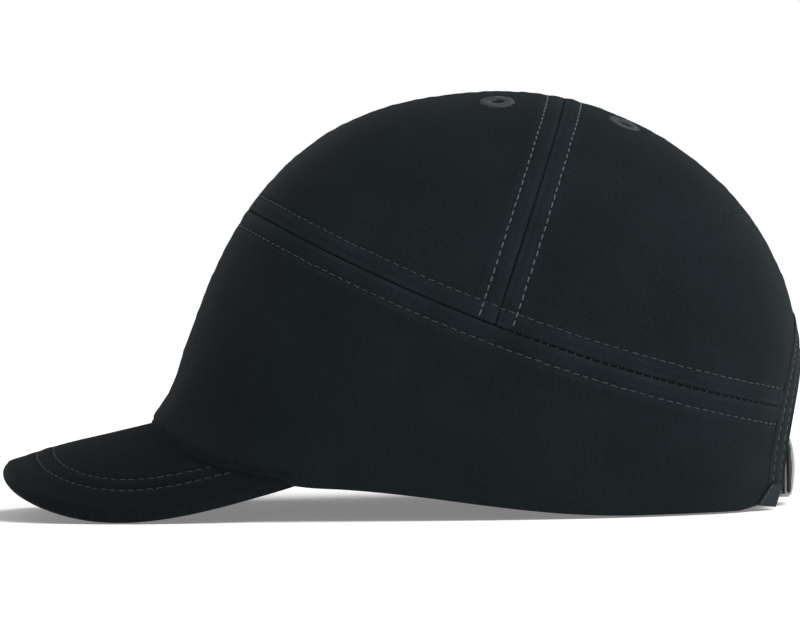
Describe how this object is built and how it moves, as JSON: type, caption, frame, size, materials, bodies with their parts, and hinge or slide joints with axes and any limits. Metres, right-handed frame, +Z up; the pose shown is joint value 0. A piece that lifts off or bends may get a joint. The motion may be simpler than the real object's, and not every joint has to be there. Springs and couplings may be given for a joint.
{
  "type": "bump cap",
  "caption": "Sewn textile bump cap with a short stiff peak, a vented inner shell with foam pads, and a rear strap held by a metal clamp buckle.",
  "frame": {"origin": "middle of the cap's outline in plan, on the surface that the cap stands on", "axes": "+Z up to the crown, the peak points to -Y, the wearer's left is +X"},
  "size_m": [0.1708, 0.2696, 0.1406],
  "materials": {
    "twill": "matt cotton twill",
    "tape": "plain woven tape",
    "sweatband_cloth": "brushed towelling",
    "label_cloth": "fine woven label, blank",
    "eyelet_thread": "embroidery thread",
    "shell_plastic": "fine satin ABS",
    "foam": "closed cell foam, matt",
    "board_plastic": "moulded sheet",
    "webbing": "woven webbing",
    "satin_metal": "satin nickel",
    "pin_steel": "turned steel"
  },
  "bodies": {
    "cap": {"side_panel_left": "twill", "side_panel_right": "twill", "front_top_panel_left": "twill", "front_top_panel_right": "twill", "rear_top_panel_left": "twill", "rear_top_panel_right": "twill", "rear_arch_binding": "twill", "hem_tape": "tape", "sweatband": "sweatband_cloth", "side_label": "label_cloth", "front_eyelet_left": "eyelet_thread", "front_eyelet_right": "eyelet_thread", "rear_eyelet_left": "eyelet_thread", "rear_eyelet_right": "eyelet_thread", "protective_shell": "shell_plastic", "front_pad": "foam", "rear_pad": "foam", "crown_pad": "foam", "left_pad": "foam", "right_pad": "foam", "peak_upper_cover": "twill", "peak_board": "board_plastic", "peak_lower_cover": "twill", "strap_tab": "webbing", "buckle_frame": "satin_metal", "buckle_pin": "pin_steel"},
    "strap": {"closure_strap": "webbing"},
    "clamp_lever": {"buckle_lever": "satin_metal"}
  },
  "joints": [
    {"name": "strap_adjust", "type": "hinge", "parent": "cap", "child": "strap", "pos_m": [0, 0.0332, 0.012], "axis": [0, 0, 1], "range_deg": [-6, 6]},
    {"name": "lever_open", "type": "hinge", "parent": "cap", "child": "clamp_lever", "pos_m": [0.00387, 0.13035, 0.012], "axis": [0, 0, 1], "range_deg": [0, 100]}
  ]
}
